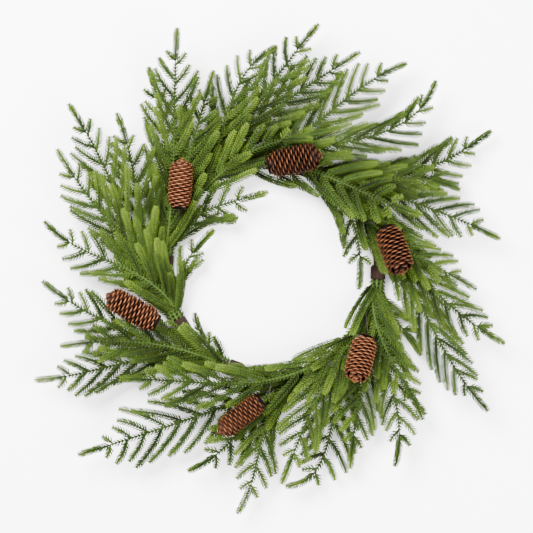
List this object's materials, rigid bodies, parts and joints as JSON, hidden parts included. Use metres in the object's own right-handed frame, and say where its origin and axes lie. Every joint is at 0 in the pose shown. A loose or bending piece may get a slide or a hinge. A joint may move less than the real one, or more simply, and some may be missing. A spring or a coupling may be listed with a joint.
{
  "type": "norfolk pine wreath",
  "caption": "Round artificial norfolk pine wreath: feathery sprays of needles sweep clockwise round a taped ring, with brown cones wired on top.",
  "frame": {"origin": "middle of the underside of the whole wreath, which lies on its back", "axes": "+Z out of the wreath's face, +Y to its top when it hangs, +X to the right seen from the front"},
  "size_m": [0.6386, 0.6674, 0.0869],
  "materials": {
    "needles": "soft moulded needles, satin green, yellow-green at the tips",
    "tape": "matte dark brown paper tape, wound",
    "cone_scales": "reddish brown scales with tan edges, slightly glossy",
    "wire": "dark brown enamelled wire"
  },
  "bodies": {
    "root": {"ring_frame": "tape", "binding_01": "tape", "binding_02": "tape", "binding_03": "tape", "binding_04": "tape", "binding_05": "tape", "binding_06": "tape", "binding_07": "tape", "binding_08": "tape", "binding_09": "tape", "binding_10": "tape", "spray_01": "needles", "spray_02": "needles", "spray_03": "needles", "spray_04": "needles", "spray_05": "needles", "spray_06": "needles", "spray_07": "needles", "spray_08": "needles", "spray_09": "needles", "spray_10": "needles", "spray_11": "needles", "spray_12": "needles", "spray_13": "needles", "spray_14": "needles", "spray_15": "needles", "spray_16": "needles", "spray_17": "needles", "spray_18": "needles", "spray_19": "needles", "spray_20": "needles", "spray_21": "needles", "spray_22": "needles", "spray_23": "needles", "spray_24": "needles", "spray_25": "needles", "spray_26": "needles", "spray_27": "needles", "spray_28": "needles", "spray_29": "needles", "spray_30": "needles", "spray_31": "needles", "spray_32": "needles", "spray_33": "needles", "spray_34": "needles", "spray_35": "needles", "spray_36": "needles", "spray_37": "needles", "cone_1": "cone_scales", "cone_2": "cone_scales", "cone_3": "cone_scales", "cone_4": "cone_scales", "cone_5": "cone_scales", "cone_6": "cone_scales", "cone_wire_1": "wire", "cone_wire_2": "wire", "cone_wire_3": "wire", "cone_wire_4": "wire", "cone_wire_5": "wire", "cone_wire_6": "wire"}
  },
  "joints": []
}
